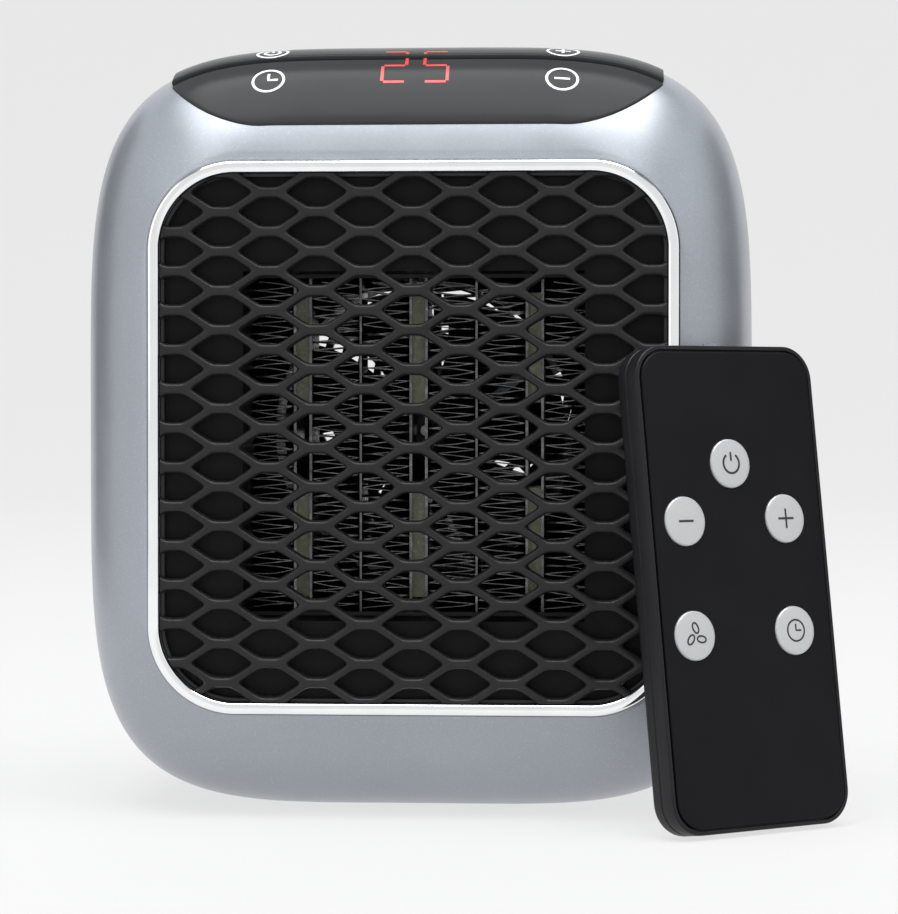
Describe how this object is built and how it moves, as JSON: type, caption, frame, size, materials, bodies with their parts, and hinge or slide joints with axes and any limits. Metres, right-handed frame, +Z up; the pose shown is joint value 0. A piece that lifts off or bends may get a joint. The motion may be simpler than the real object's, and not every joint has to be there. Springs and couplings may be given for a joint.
{
  "type": "plug-in ceramic fan heater with card remote",
  "caption": "Rounded silver-grey ceramic fan heater with black diamond grille, chrome trim, touch panel, swivel wall plug, and a black card remote leaning on its front.",
  "frame": {"origin": "centre line of the body at mid depth, on the underside of the base pad", "axes": "+X to the right seen from the front, +Y towards the wall plug at the back, +Z up"},
  "size_m": [0.1401, 0.1397, 0.1416],
  "materials": {
    "shell_silver": "satin silver-grey paint over ABS",
    "rear_shell": "satin silver-grey paint over ABS",
    "trim_chrome": "polished plating",
    "grille_black": "moulded satin black",
    "duct_black": "moulded matt black",
    "panel_black": "glossy smoked panel",
    "board_green": "solder resist",
    "led_red": "lit segments behind the panel",
    "spring_steel": "spring wire",
    "ir_black": "infrared filter epoxy",
    "ptc_ceramic": "dark barium titanate ceramic",
    "fin_aluminium": "rolled strip",
    "cap_black": "glass-filled high-temperature plastic",
    "thermostat_metal": "drawn metal cap on phenolic",
    "impeller_grey": "moulded satin",
    "motor_steel": "drawn can",
    "screw_steel": "zinc plated",
    "relay_blue": "moulded case",
    "capacitor_yellow": "moulded box",
    "terminal_green": "moulded",
    "switch_black": "moulded gloss",
    "plug_grey": "moulded satin black",
    "pin_nickel": "nickel-plated brass",
    "retainer_white": "nylon",
    "pad_rubber": "soft rubber",
    "remote_black": "satin black ABS",
    "remote_face_black": "satin-gloss black overlay",
    "button_silver": "silver-painted keys with dark marks",
    "ir_led_clear": "tinted epoxy",
    "cell_steel": "nickel-plated steel can"
  },
  "bodies": {
    "heater": {"front_bezel": "shell_silver", "rear_housing": "rear_shell", "rear_cover": "rear_shell", "chrome_trim": "trim_chrome", "front_grille": "grille_black", "air_duct": "duct_black", "control_panel": "panel_black", "display_pcb": "board_green", "led_display": "led_red", "touch_springs": "spring_steel", "ir_receiver": "ir_black", "ptc_stones": "ptc_ceramic", "electrode_plates": "fin_aluminium", "ptc_fins": "fin_aluminium", "divider_plates": "fin_aluminium", "core_end_caps": "cap_black", "thermostat": "thermostat_metal", "thermal_fuse": "screw_steel", "fan_shroud": "duct_black", "motor_bracket": "motor_steel", "fan_motor": "motor_steel", "motor_screws": "screw_steel", "power_pcb": "board_green", "relay": "relay_blue", "filter_capacitor": "capacitor_yellow", "terminal_block": "terminal_green", "rocker_switch_body": "switch_black", "intake_grille": "grille_black", "base_pad": "pad_rubber", "case_screws": "screw_steel"},
    "fan": {"fan_impeller": "impeller_grey", "motor_shaft": "screw_steel"},
    "rocker": {"rocker_button": "switch_black"},
    "plug": {"plug_swivel": "plug_grey", "plug_pins": "pin_nickel", "plug_retainer": "retainer_white"},
    "remote": {"remote_case": "remote_black", "remote_face": "remote_face_black", "remote_pcb": "board_green", "dome_switches": "spring_steel", "remote_ir_led": "ir_led_clear", "battery_contact": "spring_steel"},
    "tray": {"battery_tray": "remote_black", "coin_cell": "cell_steel"},
    "button_power": {"remote_button_power": "button_silver"},
    "button_minus": {"remote_button_minus": "button_silver"},
    "button_plus": {"remote_button_plus": "button_silver"},
    "button_speed": {"remote_button_speed": "button_silver"},
    "button_timer": {"remote_button_timer": "button_silver"}
  },
  "joints": [
    {"name": "fan_spin", "type": "hinge", "parent": "heater", "child": "fan", "pos_m": [0, 0.002, 0.07], "axis": [0, 1, 0], "continuous": true},
    {"name": "power_rocker", "type": "hinge", "parent": "heater", "child": "rocker", "pos_m": [0.029, 0.0365, 0.036], "axis": [-1, 0, 0], "range_deg": [0, 16]},
    {"name": "plug_turn", "type": "hinge", "parent": "heater", "child": "plug", "pos_m": [0, 0.04, 0.0335], "axis": [0, 1, 0], "range_deg": [-90, 90]},
    {"name": "remote_lift", "type": "slide", "parent": "heater", "child": "remote", "axis": [0, 0, 1], "range_m": [0, 0.06]},
    {"name": "battery_tray_slide", "type": "slide", "parent": "remote", "child": "tray", "axis": [0.0848, -0.1147, -0.9898], "range_m": [0, 0.024]},
    {"name": "power_press", "type": "slide", "parent": "remote", "child": "button_power", "axis": [-0.5887, 0.7956, -0.1426], "range_m": [0, 0.0003], "stiffness_N_per_m": 300, "springref_m": -0.0003},
    {"name": "minus_press", "type": "slide", "parent": "remote", "child": "button_minus", "axis": [-0.5887, 0.7956, -0.1426], "range_m": [0, 0.0003], "stiffness_N_per_m": 300, "springref_m": -0.0003},
    {"name": "plus_press", "type": "slide", "parent": "remote", "child": "button_plus", "axis": [-0.5887, 0.7956, -0.1426], "range_m": [0, 0.0003], "stiffness_N_per_m": 300, "springref_m": -0.0003},
    {"name": "speed_press", "type": "slide", "parent": "remote", "child": "button_speed", "axis": [-0.5887, 0.7956, -0.1426], "range_m": [0, 0.0003], "stiffness_N_per_m": 300, "springref_m": -0.0003},
    {"name": "timer_press", "type": "slide", "parent": "remote", "child": "button_timer", "axis": [-0.5887, 0.7956, -0.1426], "range_m": [0, 0.0003], "stiffness_N_per_m": 300, "springref_m": -0.0003}
  ]
}
